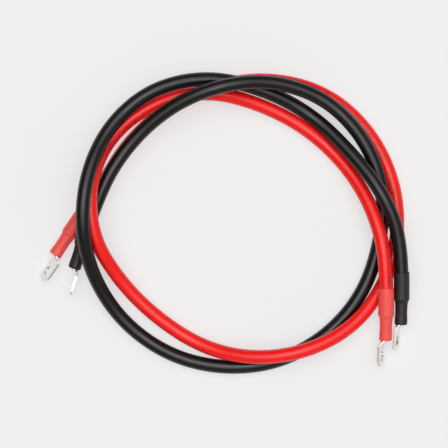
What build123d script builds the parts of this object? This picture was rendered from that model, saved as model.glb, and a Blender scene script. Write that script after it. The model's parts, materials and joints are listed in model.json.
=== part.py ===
"""Pair of battery cables, one red and one black, each crimped into a ring lug at both ends.

Both cables lie loosely in one common loop on a flat surface. Millimetres, +Z up, with the
origin at the bottom centre of the whole pair. Every layer of a cable is a solid of its own:
seven bunches of fine wire, a wrap round them, the jacket, and at each end a ring lug, a
sealing liner and a shrunk sleeve.
"""

import os
from math import cos, pi, radians, sin, tan

from build123d import *

# Cable, from the middle outwards
BUNCH_DIAMETER = 3.1
OUTER_BUNCHES = 6
FIT_GAP = 0.05
BUNCH_PITCH_RADIUS = BUNCH_DIAMETER + FIT_GAP
CRIMPED_BUNCH_DIAMETER = 2.75
CRIMPED_PITCH_RADIUS = CRIMPED_BUNCH_DIAMETER + FIT_GAP
WRAP_INNER_RADIUS = BUNCH_PITCH_RADIUS + BUNCH_DIAMETER / 2 + FIT_GAP
WRAP_OUTER_RADIUS = WRAP_INNER_RADIUS + 0.25
JACKET_INNER_RADIUS = WRAP_OUTER_RADIUS + FIT_GAP
JACKET_RADIUS = 6.9
STRIPPED_LENGTH = 22.0

# Ring lug: a tube, crimped on the wire, whose far end is pressed flat into a palm
BARREL_RADIUS = 5.6
BORE_RADIUS = 4.3
BARREL_START = 1.0
BARREL_END = 24.5
CRIMP_START = 6.0
CRIMP_END = 18.0
CRIMP_ACROSS_FLATS = 10.7
PALM_START = 30.5
PALM_WIDTH = 17.5
PALM_THICKNESS = 2.0
PALM_OFFSET = BARREL_RADIUS - PALM_THICKNESS / 2
STUD_HOLE_ALONG = 10.8
STUD_HOLE_DIAMETER = 10.3
TIP_RADIUS = 10.2

# Sleeve and its sealing liner, measured along the cable from the end of the jacket
SLEEVE_ON_JACKET = 26.6
SLEEVE_ON_BARREL = 25.0
SLEEVE_JACKET_RADIUS = 7.85
SLEEVE_BARREL_RADIUS = 6.35
SLEEVE_WALL = 0.6
SLEEVE_STEP = 2.5
SLEEVE_WAIST_DEPTH = 0.2
LINER_RECESS = 1.0

# Loop on the floor. Each list runs from the jacket's end at the right to its end at the left.
FLOOR = JACKET_RADIUS
ARC_SHARE = 0.45
RED_ROUTE = [
    (159.3, -89.7, 20.4), (160, -38, 28.5), (146.7, 14.1, 23), (120.6, 58.4, 8), (81, 95, FLOOR),
    (33, 119, 10), (-17, 130, 25.5), (-69, 119, 17.5), (-112, 86, 19), (-131, 40, 37.2),
    (-128, -13, 36.8), (-102, -57, 12.5), (-65, -94, FLOOR), (-19, -123, FLOOR), (31, -133, 22.5),
    (84, -125, 27), (131, -99, 16), (162, -55, FLOOR), (173.5, -4, FLOOR), (166, 49, FLOOR),
    (140, 96, FLOOR), (99, 130, FLOOR), (47, 143, FLOOR), (-6, 137, FLOOR), (-55, 115, FLOOR),
    (-95, 79, FLOOR), (-121, 35, FLOOR), (-151.9, -10.6, 9.4),
]
BLACK_ROUTE = [
    (174.6, -74.2, 17.4), (175.5, -19, 24.5), (155.2, 30.7, 33.5), (122.6, 72.1, 22), (85.5, 108.4, 9.4),
    (37.8, 132.2, 21.5), (-16, 144, 27), (-70, 132, 32), (-111, 97, 33), (-133, 49, 49.6),
    (-138, -5, 50.6), (-128, -53, 23.5), (-99, -98, FLOOR), (-54, -130, FLOOR), (-2, -143, FLOOR),
    (52, -138, FLOOR), (101, -112, FLOOR), (137, -71, FLOOR), (154.5, -20, FLOOR), (158, 34, 15.5),
    (138, 84, 20), (100, 123, 21), (47, 140, 32), (-6, 134, 44.5), (-54, 113, 33.5),
    (-94, 77, 21.5), (-122, 31, 25.4), (-138.8, -20.3, 17.8),
]
# Degrees that each lug's palm is rolled from lying under its barrel, first end then second end
CABLES = {
    "red": {"route": RED_ROUTE, "rolls": (70, -58)},
    "black": {"route": BLACK_ROUTE, "rolls": (70, -88)},
}


def corner_radii(points):
    """The arc radius at each corner: as large as the two runs beside it leave room for."""
    radii = []
    for before, corner, after in zip(points, points[1:], points[2:]):
        arriving = corner - before
        leaving = after - corner
        half_turn = radians(arriving.get_angle(leaving)) / 2
        shorter = min(arriving.length, leaving.length)
        radii.append(ARC_SHARE * shorter / tan(half_turn))
    return radii


def route_path(points):
    """Straight runs joined by tangent arcs."""
    return FilletPolyline(*points, radius=corner_radii(points))


def start_plane(points):
    """A plane square to the route at its first point."""
    return Plane(origin=points[0], z_dir=points[1] - points[0])


def lug_plane(cut, inner, roll):
    """The frame of a cable end: Z points out along the cable, X from the barrel to the palm."""
    outward = (cut - inner).normalized()
    down = (Vector(0, 0, -1) + outward * outward.Z).normalized()
    side = down.cross(outward)
    palm_side = down * cos(radians(roll)) + side * sin(radians(roll))
    return Plane(origin=cut, x_dir=palm_side, z_dir=outward)


def swept_tube(points, outer_radius, inner_radius):
    """A hollow layer of the cable."""
    section = Circle(outer_radius) - Circle(inner_radius)
    return sweep(start_plane(points) * section, path=route_path(points))


def bunch(points, ends, angle, pitch, crimped_pitch):
    """One bunch of wire, squeezed together over the stripped length in each lug."""
    along = (cos(radians(angle)), sin(radians(angle)))
    place = Pos(pitch * along[0], pitch * along[1], 0)
    first = start_plane(points)
    body = sweep(first * place * Circle(BUNCH_DIAMETER / 2), path=route_path(points))
    for end_face, plane in zip(end_faces(body, ends), ends):
        centre = plane.to_local_coords(end_face.center())
        squeezed = crimped_pitch / pitch if pitch else 1
        spot = Pos(centre.X * squeezed, centre.Y * squeezed, 0)
        crimped = extrude(spot * Circle(CRIMPED_BUNCH_DIAMETER / 2), amount=STRIPPED_LENGTH)
        body += plane * crimped
    return body


def end_faces(body, ends):
    """The flat face of a swept bunch that lies at each end of the cable."""
    return [min(body.faces(), key=lambda face: (face.center() - plane.origin).length) for plane in ends]


def barrel():
    """The lug's tube with its six-sided crimp."""
    tube = Pos(0, 0, BARREL_START) * Cylinder(
        BARREL_RADIUS, BARREL_END - BARREL_START, align=(Align.CENTER, Align.CENTER, Align.MIN)
    )
    band = Pos(0, 0, CRIMP_START) * extrude(Circle(BARREL_RADIUS + 1), amount=CRIMP_END - CRIMP_START)
    hexagon = RegularPolygon(CRIMP_ACROSS_FLATS / 2, side_count=6, major_radius=False)
    crimp = Pos(0, 0, CRIMP_START) * extrude(hexagon, amount=CRIMP_END - CRIMP_START)
    return tube - (band - crimp)


def shoulder():
    """The sloping stretch where the round tube spreads out into the flat palm."""
    round_end = Plane.XY.offset(BARREL_END) * Circle(BARREL_RADIUS)
    flat_end = Plane.XY.offset(PALM_START) * Pos(PALM_OFFSET, 0) * RectangleRounded(
        PALM_THICKNESS, PALM_WIDTH, PALM_THICKNESS / 2 - 0.05
    )
    return loft([round_end, flat_end])


def palm():
    """The flat ring: parallel sides, a tip rounded about the stud hole, and the hole itself."""
    length = STUD_HOLE_ALONG + TIP_RADIUS
    outline = Pos(length / 2, 0) * Rectangle(length, PALM_WIDTH)
    square_tip = Pos(STUD_HOLE_ALONG + TIP_RADIUS / 2, 0) * Rectangle(TIP_RADIUS, PALM_WIDTH)
    outline -= square_tip - Pos(STUD_HOLE_ALONG, 0) * Circle(TIP_RADIUS)
    outline -= Pos(STUD_HOLE_ALONG, 0) * Circle(STUD_HOLE_DIAMETER / 2)
    plate = Plane(origin=(PALM_OFFSET, 0, PALM_START), x_dir=(0, 0, 1), z_dir=(1, 0, 0))
    return plate * extrude(outline, amount=PALM_THICKNESS / 2, both=True)


def ring_lug():
    """The whole lug, standing on the end of the jacket with its palm at +X."""
    bore = Pos(0, 0, BARREL_START) * Cylinder(
        BORE_RADIUS, BARREL_END - BARREL_START, align=(Align.CENTER, Align.CENTER, Align.MIN)
    )
    return barrel() + shoulder() + palm() - bore


def revolved(outline):
    """A ring from its half section, given as (along the cable, radius) pairs."""
    section = Polyline(*[(radius, 0, along) for along, radius in outline], close=True)
    return revolve(make_face(section), axis=Axis.Z)


def sleeve():
    """The shrunk sleeve: wide on the jacket, narrow on the barrel, drawn in over the crimp."""
    jacket_bore = SLEEVE_JACKET_RADIUS - SLEEVE_WALL
    barrel_bore = SLEEVE_BARREL_RADIUS - SLEEVE_WALL + 0.1
    waist = SLEEVE_BARREL_RADIUS - SLEEVE_WAIST_DEPTH
    return revolved([
        (-SLEEVE_ON_JACKET, jacket_bore), (0, jacket_bore), (SLEEVE_STEP, barrel_bore),
        (SLEEVE_ON_BARREL, barrel_bore), (SLEEVE_ON_BARREL, SLEEVE_BARREL_RADIUS - 0.2),
        (SLEEVE_ON_BARREL - 0.6, SLEEVE_BARREL_RADIUS), (CRIMP_END, SLEEVE_BARREL_RADIUS),
        (CRIMP_END - 2, waist), (CRIMP_START + 2, waist), (CRIMP_START, SLEEVE_BARREL_RADIUS),
        (SLEEVE_STEP + 0.5, SLEEVE_BARREL_RADIUS + 0.1), (0.6, SLEEVE_JACKET_RADIUS),
        (0.6 - SLEEVE_ON_JACKET, SLEEVE_JACKET_RADIUS), (-SLEEVE_ON_JACKET, SLEEVE_JACKET_RADIUS - 0.2),
    ])


def liner():
    """The ring of sealing adhesive between the sleeve and what it grips."""
    outer_on_jacket = SLEEVE_JACKET_RADIUS - SLEEVE_WALL - FIT_GAP
    outer_on_barrel = SLEEVE_BARREL_RADIUS - SLEEVE_WALL + 0.1 - FIT_GAP
    inner_on_jacket = JACKET_RADIUS + FIT_GAP
    inner_on_barrel = BARREL_RADIUS + FIT_GAP
    return revolved([
        (LINER_RECESS - SLEEVE_ON_JACKET, inner_on_jacket), (0.1, inner_on_jacket),
        (BARREL_START + 0.2, inner_on_barrel), (SLEEVE_ON_BARREL - LINER_RECESS, inner_on_barrel),
        (SLEEVE_ON_BARREL - LINER_RECESS, outer_on_barrel), (SLEEVE_STEP, outer_on_barrel),
        (-0.1, outer_on_jacket), (LINER_RECESS - SLEEVE_ON_JACKET, outer_on_jacket),
    ])


def cable_nodes(colour, route, rolls):
    """Every node of one cable, by name."""
    points = [Vector(*point) for point in route]
    ends = [lug_plane(points[0], points[1], rolls[0]), lug_plane(points[-1], points[-2], rolls[1])]
    nodes = {
        f"{colour}_jacket": swept_tube(points, JACKET_RADIUS, JACKET_INNER_RADIUS),
        f"{colour}_wrap": swept_tube(points, WRAP_OUTER_RADIUS, WRAP_INNER_RADIUS),
        f"{colour}_core_bunch": bunch(points, ends, 0, 0, 0),
    }
    ring = []
    for index in range(OUTER_BUNCHES):
        angle = 360 / OUTER_BUNCHES * index
        ring.append(bunch(points, ends, angle, BUNCH_PITCH_RADIUS, CRIMPED_PITCH_RADIUS))
    nodes[f"{colour}_outer_bunches"] = Compound(children=ring)
    for side, plane in zip(("right", "left"), ends):
        nodes[f"{colour}_{side}_lug"] = plane * ring_lug()
        nodes[f"{colour}_{side}_sleeve"] = plane * sleeve()
        nodes[f"{colour}_{side}_liner"] = plane * liner()
    return nodes


def report_route(colour, route, jacket):
    """Print the tightest arc, the length, and how well the tube's volume agrees with it."""
    points = [Vector(*point) for point in route]
    radii = corner_radii(points)
    length = route_path(points).length
    section = pi * (JACKET_RADIUS**2 - JACKET_INNER_RADIUS**2)
    print(f"{colour}: radii {[round(radius) for radius in radii]}")
    print(f"{colour}: length {length:.1f} mm, volume over section x length {jacket.volume / section / length:.4f}")


def main():
    os.makedirs("parts", exist_ok=True)
    for colour, cable in CABLES.items():
        nodes = cable_nodes(colour, cable["route"], cable["rolls"])
        for name, shape in nodes.items():
            export_step(shape, f"parts/{name}.step")
        report_route(colour, cable["route"], nodes[f"{colour}_jacket"])


main()
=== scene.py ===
"""Looks of the red and black battery cable pair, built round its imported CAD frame.

Metres, +Z up, in the frame's own axes. Each cable is one smooth route, and every soft layer
of it (jacket, wrap, wire bunches, liners and sleeves) is a mesh that follows that route.
The four ring lugs are the CAD's own, with softened edges.
"""

import json
import math

import bmesh
import bpy
import numpy as np
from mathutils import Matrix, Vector, noise

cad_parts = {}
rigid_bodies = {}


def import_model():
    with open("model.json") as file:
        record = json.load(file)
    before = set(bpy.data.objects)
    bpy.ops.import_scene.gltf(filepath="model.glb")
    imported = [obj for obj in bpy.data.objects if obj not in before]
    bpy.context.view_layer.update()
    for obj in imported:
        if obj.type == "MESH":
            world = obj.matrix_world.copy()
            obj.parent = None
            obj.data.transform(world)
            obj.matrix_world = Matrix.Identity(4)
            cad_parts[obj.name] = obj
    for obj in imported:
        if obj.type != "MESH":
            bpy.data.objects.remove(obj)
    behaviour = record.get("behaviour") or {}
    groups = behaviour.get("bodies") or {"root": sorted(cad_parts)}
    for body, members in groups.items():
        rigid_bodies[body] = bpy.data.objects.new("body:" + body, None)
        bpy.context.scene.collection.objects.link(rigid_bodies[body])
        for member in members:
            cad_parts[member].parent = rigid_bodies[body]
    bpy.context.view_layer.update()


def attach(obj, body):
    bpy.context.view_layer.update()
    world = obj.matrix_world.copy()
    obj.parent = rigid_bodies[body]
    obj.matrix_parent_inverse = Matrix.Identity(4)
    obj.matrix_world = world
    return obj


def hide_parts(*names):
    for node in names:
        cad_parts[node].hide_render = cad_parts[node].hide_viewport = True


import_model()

# Cable layers, as radii
JACKET_RADIUS = 0.0069
JACKET_INNER_RADIUS = 0.00505
WRAP_OUTER_RADIUS = 0.0050
WRAP_INNER_RADIUS = 0.00477
BUNCH_RADIUS = 0.00152
BUNCH_PITCH_RADIUS = 0.00315
CRIMPED_BUNCH_RADIUS = 0.00137
CRIMPED_PITCH_RADIUS = 0.0028
OUTER_BUNCHES = 6

# Wire: the length of one turn of the bunches, how far they reach past the jacket's end, and
# the length over which they are squeezed as they enter a lug's barrel
BUNCH_LAY = 0.115
STRIPPED_LENGTH = 0.0218
SQUEEZE_LENGTH = 0.003

# Height of a cable's middle where it rests on the floor
FLOOR = JACKET_RADIUS

# Jacket: its rounded cut edges, and how high and how wide its slight lumps are
CUT_EDGE_LENGTH = 0.0004
CUT_EDGE_DEPTH = 0.0003
JACKET_LUMP_HEIGHT = 0.00005
JACKET_LUMP_WIDTH = 0.022

# Sleeve: how far it reaches from the jacket's end, over the jacket and over the lug's barrel
SLEEVE_ON_JACKET = 0.0266
SLEEVE_ON_BARREL = 0.025

# Its bore: a wall's thickness inside its outer radius, which is taken at the middle of the wide
# part and over the barrel; where it steps down between them; and the least wall it leaves
SLEEVE_WALL = 0.0006
SLEEVE_WIDE_MIDDLE = -0.014
SLEEVE_BARREL_RADIUS = 0.0064
BORE_STEP_AT = 0.0005
LEAST_SLEEVE_WALL = 0.0003

# Relief on a sleeve: lumps all over it, finer wrinkles on its step, and the crimp's flats
SLEEVE_LUMP_HEIGHT = 0.00007
SLEEVE_LUMP_WIDTH = 0.006
WRINKLE_HEIGHT = 0.00012
WRINKLE_WIDTH = 0.0022
CRIMP_SIDES = 6
CRIMP_FLAT_DEPTH = 0.00013

# A sleeve's outer radius against the distance outwards from the jacket's end, in millimetres:
# wide on the jacket, a soft ridge where that ends, narrow on the barrel, and a waist over the crimp
SLEEVE_PROFILE = [
    (-26.6, 7.50), (-26.35, 7.72), (-25.9, 7.80), (-14, 7.74), (-3, 7.76), (-1.0, 7.86), (0.0, 7.84),
    (0.7, 7.55), (1.5, 6.95), (2.4, 6.58), (3.6, 6.38), (5.0, 6.30), (7.0, 6.16), (12.0, 6.08),
    (16.5, 6.14), (19.0, 6.28), (23.4, 6.30), (24.4, 6.20), (24.8, 6.05), (25.0, 5.85),
]

# How finely meshes are cut
STEPS_PER_SPAN = 14
SIDES = 48
BUNCH_SIDES = 10
INNER_STEP = 0.007

# Both routes as control points, from the cable's end at the right to its end at the left
RED_ROUTE = [
    (0.1593, -0.0897, 0.0204), (0.160, -0.038, 0.0285), (0.1467, 0.0141, 0.023),
    (0.1206, 0.0584, 0.008), (0.081, 0.095, FLOOR), (0.033, 0.119, 0.010),
    (-0.017, 0.130, 0.0255), (-0.069, 0.119, 0.0175), (-0.112, 0.086, 0.019),
    (-0.131, 0.040, 0.0372), (-0.128, -0.013, 0.0368), (-0.102, -0.057, 0.0125),
    (-0.065, -0.094, FLOOR), (-0.019, -0.123, FLOOR), (0.031, -0.133, 0.0225),
    (0.084, -0.125, 0.027), (0.131, -0.099, 0.016), (0.162, -0.055, FLOOR),
    (0.1735, -0.004, FLOOR), (0.166, 0.049, FLOOR), (0.140, 0.096, FLOOR),
    (0.099, 0.130, FLOOR), (0.047, 0.143, FLOOR), (-0.006, 0.137, FLOOR),
    (-0.055, 0.115, FLOOR), (-0.095, 0.079, FLOOR), (-0.121, 0.035, FLOOR),
    (-0.1519, -0.0106, 0.0094),
]
BLACK_ROUTE = [
    (0.1746, -0.0742, 0.0174), (0.1755, -0.019, 0.0245), (0.1552, 0.0307, 0.0335),
    (0.1226, 0.0721, 0.022), (0.0855, 0.1084, 0.0094), (0.0378, 0.1322, 0.0215),
    (-0.016, 0.144, 0.027), (-0.070, 0.132, 0.032), (-0.111, 0.097, 0.033),
    (-0.133, 0.049, 0.0496), (-0.138, -0.005, 0.0506), (-0.128, -0.053, 0.0235),
    (-0.099, -0.098, FLOOR), (-0.054, -0.130, FLOOR), (-0.002, -0.143, FLOOR),
    (0.052, -0.138, FLOOR), (0.101, -0.112, FLOOR), (0.137, -0.071, FLOOR),
    (0.1545, -0.020, FLOOR), (0.158, 0.034, 0.0155), (0.138, 0.084, 0.020),
    (0.100, 0.123, 0.021), (0.047, 0.140, 0.032), (-0.006, 0.134, 0.0445),
    (-0.054, 0.113, 0.0335), (-0.094, 0.077, 0.0215), (-0.122, 0.031, 0.0254),
    (-0.1388, -0.0203, 0.0178),
]

# The printed line's place round the jacket: degrees from the top, at distances along the cable
LEGEND_TURNS = [
    (0, 10), (0.08, 38), (0.40, 315), (0.52, 387), (0.60, 425), (0.93, 650), (0.98, 708),
    (1.06, 720), (1.12, 738), (1.43, 900),
]

# Its strokes: half their width as an angle, the space for each one, and the groups they come in
LEGEND_HALF_ANGLE = 0.16
STROKE_SPACE = 0.0022
GROUP_SPACE = 0.085
GROUP_FILLED_SHARE = 0.85


# --- Camera ---------------------------------------------------------------------------------

def make_camera():
    """Straight above the pair, far enough away that the view is almost without perspective."""
    height = 2.5
    view_width = 0.4413
    data = bpy.data.cameras.new("camera")
    data.sensor_width = 36
    data.lens = data.sensor_width * (height - FLOOR) / view_width
    camera = bpy.data.objects.new("camera", data)
    camera.location = (0.0005, -0.0005, height)
    bpy.context.collection.objects.link(camera)
    bpy.context.scene.camera = camera


# --- Routes ---------------------------------------------------------------------------------

def nurbs_points(route):
    """The points along the smooth NURBS spline whose control points are the route's."""
    curve = bpy.data.curves.new("route", "CURVE")
    curve.dimensions = "3D"
    spline = curve.splines.new("NURBS")
    spline.points.add(len(route) - 1)
    for point, place in zip(spline.points, route):
        point.co = (*place, 1)
    spline.order_u = 3
    spline.use_endpoint_u = True
    spline.resolution_u = STEPS_PER_SPAN
    carrier = bpy.data.objects.new("route", curve)
    bpy.context.collection.objects.link(carrier)
    line = bpy.data.meshes.new_from_object(carrier)
    points = np.array([vertex.co for vertex in line.vertices])
    bpy.data.objects.remove(carrier)
    return points


class Cable:
    """One cable's smooth route, which every layer follows."""

    def __init__(self, colour, route):
        self.colour = colour
        self.points = nurbs_points(route)
        steps = np.linalg.norm(np.diff(self.points, axis=0), axis=1)
        self.along = np.concatenate([[0], np.cumsum(steps)])
        self.length = self.along[-1]
        tangents = np.gradient(self.points, self.along, axis=0)
        tangents[0] = np.subtract(route[1], route[0])
        tangents[-1] = np.subtract(route[-1], route[-2])
        self.tangents = tangents / np.linalg.norm(tangents, axis=1)[:, None]

    def stations(self, distances):
        """Centre, upward and sideways directions at each distance; past its ends it goes on straight."""
        inside = np.clip(distances, 0, self.length)
        centres = np.stack([np.interp(inside, self.along, axis) for axis in self.points.T], axis=1)
        tangents = np.stack([np.interp(inside, self.along, axis) for axis in self.tangents.T], axis=1)
        tangents /= np.linalg.norm(tangents, axis=1)[:, None]
        centres += tangents * (distances - inside)[:, None]
        ups = np.array([0, 0, 1]) - tangents * tangents[:, 2:]
        ups /= np.linalg.norm(ups, axis=1)[:, None]
        return centres, ups, np.cross(tangents, ups)

    def rings(self, distances, angles, radii):
        """Points round the route: one ring per distance, at the angles and radii given for it."""
        centres, ups, sides = self.stations(distances)
        upward = (radii * np.cos(angles))[:, :, None] * ups[:, None, :]
        sideways = (radii * np.sin(angles))[:, :, None] * sides[:, None, :]
        return centres[:, None, :] + upward + sideways

    def from_end(self, end, outward):
        """Distances along the route for places measured outwards from the jacket's end."""
        return -outward if end == "right" else self.length + outward


def legend_angles(distances):
    """Where the printed line is on the jacket: it winds slowly round it."""
    places, degrees = np.array(LEGEND_TURNS).T
    return np.radians(np.interp(distances, places, degrees))


# --- Meshes ---------------------------------------------------------------------------------

def ring_mesh(name, rings, around, along, closed):
    """A surface through successive rings; closed joins the last ring to the first, else it is capped.

    The attribute "place" keeps each vertex's cosine and sine round the cable and its distance along it.
    """
    count, sides = rings.shape[:2]
    faces = []
    for row in range(count if closed else count - 1):
        here, there = row * sides, (row + 1) % count * sides
        for side in range(sides):
            after = (side + 1) % sides
            faces.append((here + side, here + after, there + after, there + side))
    if not closed:
        faces.append(tuple(range(sides - 1, -1, -1)))
        faces.append(tuple((count - 1) * sides + side for side in range(sides)))
    mesh = bpy.data.meshes.new(name)
    mesh.from_pydata(rings.reshape(-1, 3).tolist(), [], faces)
    place = mesh.attributes.new("place", "FLOAT_VECTOR", "POINT")
    lengths = np.broadcast_to(along[:, None], around.shape)
    values = np.stack([np.cos(around), np.sin(around), lengths], axis=2)
    place.data.foreach_set("vector", values.astype(np.float32).ravel())
    tidy = bmesh.new()
    tidy.from_mesh(mesh)
    bmesh.ops.recalc_face_normals(tidy, faces=tidy.faces)
    tidy.to_mesh(mesh)
    tidy.free()
    mesh.shade_smooth()
    return mesh


def add_piece(name, mesh, material, node):
    """A piece that stands for one CAD node."""
    mesh.materials.append(material)
    piece = bpy.data.objects.new(name, mesh)
    bpy.context.collection.objects.link(piece)
    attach(piece, "root")
    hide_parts(node)
    return piece


def full_circle(count, sides):
    """The angles of evenly spaced rings."""
    return np.tile(np.arange(sides) * math.tau / sides, (count, 1))


def unevenness(points, size, seed):
    """Smooth noise from about -1 to 1, with lumps of the given size."""
    flat = points.reshape(-1, 3) / size
    values = [noise.noise(Vector(point) + Vector((seed, 3 * seed, 0))) for point in flat]
    return np.array(values).reshape(points.shape[:2])


def shell(cable, name, outer_at, outer_radii, inner_at, inner_radii):
    """A hollow layer: out along its outer surface and back along its inner one."""
    distances = np.concatenate([outer_at, inner_at[::-1]])
    radii = np.concatenate([outer_radii, inner_radii[::-1]])
    angles = full_circle(len(distances), radii.shape[1])
    rings = cable.rings(distances, angles, radii)
    relative = angles - legend_angles(distances)[:, None]
    return ring_mesh(name, rings, relative, distances, closed=True)


def hidden_distances(cable):
    """Evenly spaced places along the cable, from one end of the jacket to the other."""
    return np.append(np.arange(0, cable.length, INNER_STEP), cable.length)


def make_jacket(cable, material):
    """The jacket, a hollow tube whose surface is very slightly uneven and rounded at its cut ends."""
    last_edge = cable.length - CUT_EDGE_LENGTH
    outer_at = np.concatenate([[0, CUT_EDGE_LENGTH], cable.along[1:-1], [last_edge, cable.length]])
    angles = full_circle(len(outer_at), SIDES)
    radii = np.full(angles.shape, JACKET_RADIUS)
    radii += JACKET_LUMP_HEIGHT * unevenness(cable.rings(outer_at, angles, radii), JACKET_LUMP_WIDTH, 5)
    radii[[0, -1]] -= CUT_EDGE_DEPTH
    inner_at = hidden_distances(cable)
    inner_radii = np.full((len(inner_at), SIDES), JACKET_INNER_RADIUS)
    name = f"{cable.colour}_cable_jacket"
    mesh = shell(cable, name, outer_at, radii, inner_at, inner_radii)
    return add_piece(name, mesh, material, f"{cable.colour}_jacket")


def make_wrap(cable, material):
    """The thin separator wrap under the jacket."""
    at = hidden_distances(cable)
    outer = np.full((len(at), SIDES // 2), WRAP_OUTER_RADIUS)
    inner = np.full(outer.shape, WRAP_INNER_RADIUS)
    name = f"{cable.colour}_separator_wrap"
    mesh = shell(cable, name, at, outer, at, inner)
    return add_piece(name, mesh, material, f"{cable.colour}_wrap")


def crimp_share(cable, distances):
    """0 where the wire lies in the jacket and 1 where it is squeezed in a lug's barrel."""
    outside = np.maximum(-distances, distances - cable.length)
    return np.clip(outside / SQUEEZE_LENGTH, 0, 1)


def wire_distances(cable):
    """Evenly spaced places along the wire, which reaches past the jacket at both ends."""
    return np.arange(-STRIPPED_LENGTH, cable.length + STRIPPED_LENGTH, INNER_STEP)


def bunch_rings(cable, distances, turn, pitch_radius, crimped_pitch_radius):
    """The rings of one bunch of wire, which winds round the cable's middle."""
    share = crimp_share(cable, distances)
    pitch = pitch_radius + (crimped_pitch_radius - pitch_radius) * share
    radius = BUNCH_RADIUS + (CRIMPED_BUNCH_RADIUS - BUNCH_RADIUS) * share
    centres, ups, sides = cable.stations(distances)
    winding = turn + math.tau * distances / BUNCH_LAY
    middle = centres + (pitch * np.cos(winding))[:, None] * ups + (pitch * np.sin(winding))[:, None] * sides
    angles = full_circle(len(distances), BUNCH_SIDES)
    across = np.cos(angles)[:, :, None] * ups[:, None, :] + np.sin(angles)[:, :, None] * sides[:, None, :]
    return middle[:, None, :] + across * radius[:, None, None], angles + winding[:, None]


def make_core_bunch(cable, material):
    """The straight bunch in the middle."""
    at = wire_distances(cable)
    rings, around = bunch_rings(cable, at, 0, 0, 0)
    name = f"{cable.colour}_wire_core"
    mesh = ring_mesh(name, rings, around, at, closed=False)
    return add_piece(name, mesh, material, f"{cable.colour}_core_bunch")


def make_outer_bunches(cable, material):
    """The six bunches that are twisted round the middle one, as one piece of six closed rods."""
    at = wire_distances(cable)
    name = f"{cable.colour}_wire_bunches"
    joined = bmesh.new()
    for index in range(OUTER_BUNCHES):
        turn = math.tau * index / OUTER_BUNCHES
        rings, around = bunch_rings(cable, at, turn, BUNCH_PITCH_RADIUS, CRIMPED_PITCH_RADIUS)
        rod = ring_mesh(name, rings, around, at, closed=False)
        joined.from_mesh(rod)
        bpy.data.meshes.remove(rod)
    mesh = bpy.data.meshes.new(name)
    joined.to_mesh(mesh)
    joined.free()
    mesh.shade_smooth()
    return add_piece(name, mesh, material, f"{cable.colour}_outer_bunches")


def sleeve_outline(outward):
    """The sleeve's outer radius at each place, in metres."""
    places, radii = np.array(SLEEVE_PROFILE).T / 1000
    return np.interp(outward, places, radii)


def make_sleeve(cable, end, material, seed):
    """A shrunk sleeve: it follows the jacket, steps down onto the barrel and shows the crimp's six flats."""
    fine = np.linspace(-0.002, 0.0045, 14)
    outward = np.concatenate([
        [-SLEEVE_ON_JACKET, -0.02635, -0.0259], np.linspace(-0.0245, -0.003, 16), fine,
        np.linspace(0.0055, 0.024, 22), [0.0246, 0.0249, SLEEVE_ON_BARREL],
    ])
    angles = full_circle(len(outward), SIDES)
    radii = np.tile(sleeve_outline(outward)[:, None], (1, SIDES))
    at = cable.from_end(end, outward)
    surface = cable.rings(at, angles, radii)
    radii += SLEEVE_LUMP_HEIGHT * unevenness(surface, SLEEVE_LUMP_WIDTH, seed)
    on_step = np.exp(-((outward - 0.0025) / 0.0022) ** 2)[:, None]
    radii += WRINKLE_HEIGHT * on_step * unevenness(surface, WRINKLE_WIDTH, seed + 1)
    on_crimp = np.exp(-((outward - 0.012) / 0.0055) ** 4)[:, None]
    radii += CRIMP_FLAT_DEPTH * on_crimp * np.cos(CRIMP_SIDES * angles)
    on_jacket = outward < BORE_STEP_AT
    wide_radius = sleeve_outline(SLEEVE_WIDE_MIDDLE)
    bore = np.where(on_jacket, wide_radius, SLEEVE_BARREL_RADIUS) - SLEEVE_WALL
    bore = np.minimum(bore, radii.min(axis=1) - LEAST_SLEEVE_WALL)
    inner = np.tile(bore[:, None], (1, SIDES))
    name = f"{cable.colour}_{end}_shrunk_sleeve"
    mesh = shell(cable, name, at, radii, at, inner)
    return add_piece(name, mesh, material, f"{cable.colour}_{end}_sleeve")


def make_liner(cable, end, material):
    """The adhesive that seals the sleeve to the jacket and the barrel."""
    outward = np.array([-0.0256, -0.012, -0.0002, 0.0012, 0.0018, 0.012, 0.024])
    outer = np.array([0.00710, 0.00710, 0.00710, 0.00640, 0.00580, 0.00552, 0.00575])
    inner = np.array([0.00696, 0.00696, 0.00696, 0.00566, 0.00566, 0.00540, 0.00566])
    outer_rings = np.tile(np.maximum(outer, inner + 0.0001)[:, None], (1, SIDES))
    inner_rings = np.tile(inner[:, None], (1, SIDES))
    at = cable.from_end(end, outward)
    name = f"{cable.colour}_{end}_adhesive"
    mesh = shell(cable, name, at, outer_rings, at, inner_rings)
    return add_piece(name, mesh, material, f"{cable.colour}_{end}_liner")


def finish_lug(colour, end, material):
    """The CAD's own ring lug, with its pressed edges softened and a tin finish."""
    lug = bpy.data.objects[f"{colour}_{end}_lug"]
    weld = lug.modifiers.new("weld", "WELD")
    weld.merge_threshold = 0.00001
    bevel = lug.modifiers.new("soft_edges", "BEVEL")
    bevel.width = 0.0003
    bevel.segments = 3
    bevel.limit_method = "ANGLE"
    bevel.angle_limit = math.radians(40)
    bevel.harden_normals = True
    lug.data.materials.clear()
    lug.data.materials.append(material)
    return lug


# --- Materials ------------------------------------------------------------------------------

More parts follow.
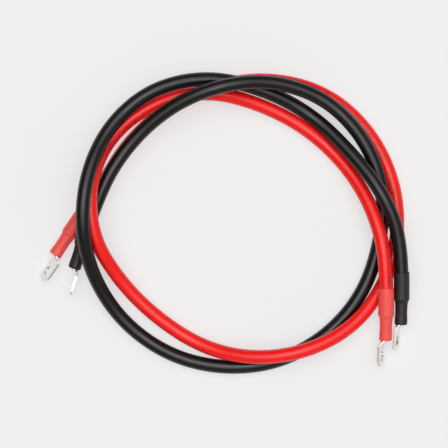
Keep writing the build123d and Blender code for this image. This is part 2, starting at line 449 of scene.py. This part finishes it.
class Shader:
    """A small helper that adds and links nodes of one material."""

    def __init__(self, name):
        self.material = bpy.data.materials.new(name)
        self.material.use_nodes = True
        self.nodes = self.material.node_tree.nodes
        self.links = self.material.node_tree.links
        self.surface = self.nodes["Principled BSDF"]

    def feed(self, socket, value):
        """Link another node's output to a socket, or set the socket to a plain value."""
        if isinstance(value, bpy.types.NodeSocket):
            self.links.new(value, socket)
        else:
            socket.default_value = value

    def add(self, kind, inputs=(), **settings):
        """A node with its settings, and its inputs by name or number: values or other nodes' outputs."""
        node = self.nodes.new(kind)
        for key, value in settings.items():
            setattr(node, key, value)
        for key, value in dict(inputs).items():
            self.feed(node.inputs[key], value)
        return node

    def math(self, operation, *values):
        """The result of one step of arithmetic."""
        return self.add("ShaderNodeMath", dict(enumerate(values)), operation=operation).outputs[0]

    def stretched(self, coordinates, factors):
        """Coordinates multiplied by a factor for each axis."""
        inputs = {0: coordinates, 1: factors}
        return self.add("ShaderNodeVectorMath", inputs, operation="MULTIPLY").outputs[0]

    def noise(self, coordinates, scale, detail=3.0):
        """Soft noise; a larger scale makes it finer."""
        inputs = {"Vector": coordinates, "Scale": scale, "Detail": detail}
        return self.add("ShaderNodeTexNoise", inputs).outputs["Fac"]

    def between(self, factor, low, high):
        """A value that goes from low to high with the factor."""
        node = self.add("ShaderNodeMapRange", {"Value": factor, "To Min": low, "To Max": high})
        return node.outputs["Result"]

    def mix(self, factor, first, second):
        """A colour between two; on this node the colours are inputs 6 and 7 and output 2."""
        return self.add("ShaderNodeMix", {0: factor, 6: first, 7: second}, data_type="RGBA").outputs[2]

    def set(self, name, value):
        """Give the surface one of its properties."""
        self.feed(self.surface.inputs[name], value)

    def bump(self, height, distance, strength=1.0):
        """Raise the surface where the height is large."""
        inputs = {"Height": height, "Distance": distance, "Strength": strength}
        self.set("Normal", self.add("ShaderNodeBump", inputs).outputs["Normal"])


def colour(red, green, blue, share=1.0):
    """A colour, made darker by the share."""
    return (red * share, green * share, blue * share, 1)


def object_coordinates(shader):
    """Places in the part's own axes, in metres."""
    return shader.add("ShaderNodeTexCoord").outputs["Object"]


def cable_place(shader):
    """Cosine and sine round the cable, and the distance along it."""
    attribute = shader.add("ShaderNodeAttribute", attribute_name="place")
    return attribute.outputs["Vector"]


def lengthwise(shader, place, squeeze):
    """Coordinates that draw every pattern out along the cable."""
    return shader.stretched(place, (1, 1, squeeze))


def legend_mask(shader, place):
    """1 on a row of short plain strokes of uneven lengths, in groups along the cable."""
    parts = shader.add("ShaderNodeSeparateXYZ", {0: place})
    angle = shader.math("ARCTAN2", parts.outputs[1], parts.outputs[0])
    within = shader.math("LESS_THAN", shader.math("ABSOLUTE", angle), LEGEND_HALF_ANGLE)
    stroke = shader.math("MULTIPLY", parts.outputs[2], 1 / STROKE_SPACE)
    cell = shader.math("FLOOR", stroke)
    chance = shader.add("ShaderNodeTexWhiteNoise", {"W": cell}, noise_dimensions="1D").outputs["Value"]
    width = shader.between(chance, 0.3, 0.8)
    inked = shader.math("LESS_THAN", shader.math("FRACT", stroke), width)
    group = shader.math("FRACT", shader.math("MULTIPLY", parts.outputs[2], 1 / GROUP_SPACE))
    grouped = shader.math("LESS_THAN", group, GROUP_FILLED_SHARE)
    return shader.math("MULTIPLY", shader.math("MULTIPLY", within, inked), grouped)


def jacket_material(name, base, print_colour):
    """Glossy extruded PVC: faint lines along it, small changes of gloss, and the printed strokes."""
    shader = Shader(name)
    place = cable_place(shader)
    where = object_coordinates(shader)
    mottled = shader.mix(shader.noise(where, 45), colour(*base), colour(*base, share=0.88))
    if print_colour:
        worn = shader.math("GREATER_THAN", shader.noise(where, 900), 0.42)
        inked = shader.math("MULTIPLY", legend_mask(shader, place), worn)
        mottled = shader.mix(inked, mottled, colour(*print_colour))
    shader.set("Base Color", mottled)
    shader.set("Roughness", shader.between(shader.noise(where, 70), 0.22, 0.34))
    shader.set("IOR", 1.42)
    drawn = shader.noise(lengthwise(shader, place, 18), 2.4, 5)
    pores = shader.noise(where, 1400, 2)
    height = shader.math("ADD", drawn, shader.math("MULTIPLY", pores, 0.12))
    shader.bump(height, 0.0002, 0.5)
    return shader.material


def sleeve_material(name, base):
    """Satin shrunk polyolefin: a fine dull skin with faint stretch marks."""
    shader = Shader(name)
    place = cable_place(shader)
    where = object_coordinates(shader)
    dusty = shader.mix(shader.noise(where, 160, 5), colour(*base), colour(*base, share=0.85))
    shader.set("Base Color", dusty)
    shader.set("Roughness", shader.between(shader.noise(where, 240), 0.42, 0.62))
    skin = shader.noise(where, 2200, 3)
    marks = shader.noise(lengthwise(shader, place, 60), 3.5, 4)
    shader.bump(shader.math("ADD", shader.math("MULTIPLY", skin, 0.3), marks), 0.00025, 0.6)
    return shader.material


def tin_material():
    """Bright tin plating over pressed copper tube: soft clouding and fine handling scratches."""
    shader = Shader("tin_plating")
    where = object_coordinates(shader)
    clouds = shader.noise(where, 190, 4)
    shader.set("Base Color", shader.mix(clouds, colour(0.90, 0.88, 0.83), colour(0.83, 0.80, 0.73)))
    shader.set("Metallic", 1.0)
    shader.set("Roughness", shader.between(shader.noise(where, 300, 3), 0.26, 0.36))
    scratches = shader.noise(shader.stretched(where, (4000, 500, 2500)), 1.0, 3)
    shader.bump(scratches, 0.00002, 0.2)
    return shader.material


def copper_material():
    """A bunch of fine bare wires: narrow twisted ridges, with painted shade in the grooves and a painted
    highlight on the tops.
    """
    shader = Shader("copper_wire")
    place = cable_place(shader)
    parts = shader.add("ShaderNodeSeparateXYZ", {0: place})
    angle = shader.math("ARCTAN2", parts.outputs[1], parts.outputs[0])
    ridges_round_bunch = 16
    radians_per_metre = 500
    winding = shader.math("MULTIPLY", parts.outputs[2], radians_per_metre)
    turned = shader.math("MULTIPLY", angle, ridges_round_bunch)
    ridges = shader.math("SINE", shader.math("ADD", turned, winding))
    fraction = shader.between(ridges, 0.0, 1.0)
    # The colour runs from painted shade in the grooves between wires to a painted highlight on the ridge
    # tops.
    shader.set("Base Color", shader.mix(fraction, colour(0.42, 0.16, 0.08), colour(0.93, 0.52, 0.34)))
    shader.set("Metallic", 1.0)
    shader.set("Roughness", shader.between(fraction, 0.45, 0.25))
    shader.bump(fraction, 0.0001, 0.8)
    return shader.material


def paper_material():
    """Thin fibrous separator paper."""
    shader = Shader("paper_wrap")
    where = object_coordinates(shader)
    fibres = shader.noise(where, 1500, 6)
    shader.set("Base Color", shader.mix(fibres, colour(0.70, 0.67, 0.60), colour(0.86, 0.84, 0.79)))
    shader.set("Roughness", 0.85)
    shader.bump(fibres, 0.0001, 0.5)
    return shader.material


def adhesive_material():
    """Dark hot-melt adhesive, glossy and a little lumpy."""
    shader = Shader("adhesive")
    where = object_coordinates(shader)
    lumps = shader.noise(where, 350, 3)
    shader.set("Base Color", shader.mix(lumps, colour(0.05, 0.045, 0.04), colour(0.09, 0.08, 0.07)))
    shader.set("Roughness", 0.3)
    shader.bump(lumps, 0.0003, 0.6)
    return shader.material


# --- Stage ----------------------------------------------------------------------------------

def make_floor():
    """A pale floor that glows a little, so that it stays even under the soft light."""
    bpy.ops.mesh.primitive_plane_add(size=30)
    floor = bpy.context.object
    floor.name = "floor"
    shader = Shader("floor")
    shader.set("Base Color", colour(0.30, 0.30, 0.30))
    shader.set("Roughness", 0.9)
    shader.set("Specular IOR Level", 0.0)
    shader.set("Emission Color", (1, 1, 1, 1))
    shader.set("Emission Strength", 0.545)
    floor.data.materials.append(shader.material)


def direction_share(nodes, links, direction, towards, low, high):
    """0 to 1, smoothly, as a direction turns towards the given one; low and high are cosines."""
    lobe = nodes.new("ShaderNodeVectorMath")
    lobe.operation = "DOT_PRODUCT"
    lobe.inputs[1].default_value = Vector(towards).normalized()
    links.new(direction, lobe.inputs[0])
    share = nodes.new("ShaderNodeMapRange")
    share.interpolation_type = "SMOOTHSTEP"
    share.inputs["From Min"].default_value = low
    share.inputs["From Max"].default_value = high
    links.new(lobe.outputs["Value"], share.inputs["Value"])
    return share.outputs["Result"]


def make_world():
    """Dim surroundings, a little brighter to the front right, under one wide soft glow from above."""
    dimmest_side, brightest_side = 0.13, 0.42
    glow_strength = 2.45
    world = bpy.data.worlds.new("surroundings")
    bpy.context.scene.world = world
    world.use_nodes = True
    nodes, links = world.node_tree.nodes, world.node_tree.links
    direction = nodes.new("ShaderNodeTexCoord").outputs["Generated"]
    side = direction_share(nodes, links, direction, (0.75, -0.6, 0.1), -1, 1)
    glow = direction_share(nodes, links, direction, (0, 0.10, 0.99), 0.72, 0.97)
    sides = nodes.new("ShaderNodeMapRange")
    sides.inputs["To Min"].default_value = dimmest_side
    sides.inputs["To Max"].default_value = brightest_side
    links.new(side, sides.inputs["Value"])
    strength = nodes.new("ShaderNodeMath")
    strength.operation = "MULTIPLY_ADD"
    strength.inputs[1].default_value = glow_strength
    links.new(glow, strength.inputs[0])
    links.new(sides.outputs["Result"], strength.inputs[2])
    background = nodes["Background"]
    background.inputs["Color"].default_value = (1, 1, 1, 1)
    links.new(strength.outputs["Value"], background.inputs["Strength"])


def make_light(name, place, size, power):
    """A square soft light that faces the middle of the pair and isn't seen itself."""
    data = bpy.data.lights.new(name, "AREA")
    data.size = size
    data.energy = power
    light = bpy.data.objects.new(name, data)
    light.location = place
    light.rotation_euler = (-Vector(place)).to_track_quat("-Z", "Y").to_euler()
    light.visible_camera = False
    bpy.context.collection.objects.link(light)


# --- Making it ------------------------------------------------------------------------------

make_camera()
cables = [Cable("red", RED_ROUTE), Cable("black", BLACK_ROUTE)]
jacket_finishes = {
    "red": jacket_material("red_jacket", (0.90, 0.009, 0.007), (0.07, 0.012, 0.012)),
    "black": jacket_material("black_jacket", (0.005, 0.003, 0.003), None),
}
sleeve_finishes = {
    "red": sleeve_material("red_sleeve", (0.90, 0.080, 0.065)),
    "black": sleeve_material("black_sleeve", (0.011, 0.007, 0.007)),
}
tin, copper, paper, adhesive = tin_material(), copper_material(), paper_material(), adhesive_material()

for order, cable in enumerate(cables):
    jacket = make_jacket(cable, jacket_finishes[cable.colour])
    carried = [
        make_wrap(cable, paper),
        make_core_bunch(cable, copper),
        make_outer_bunches(cable, copper),
    ]
    for number, end in enumerate(("right", "left")):
        carried.append(make_sleeve(cable, end, sleeve_finishes[cable.colour], 11 + 4 * order + 2 * number))
        carried.append(make_liner(cable, end, adhesive))
        carried.append(finish_lug(cable.colour, end, tin))

make_floor()
make_world()
make_light("overhead", (0, 0.10, 2.0), 0.4, 4.2)
bpy.context.scene.view_settings.view_transform = "Standard"
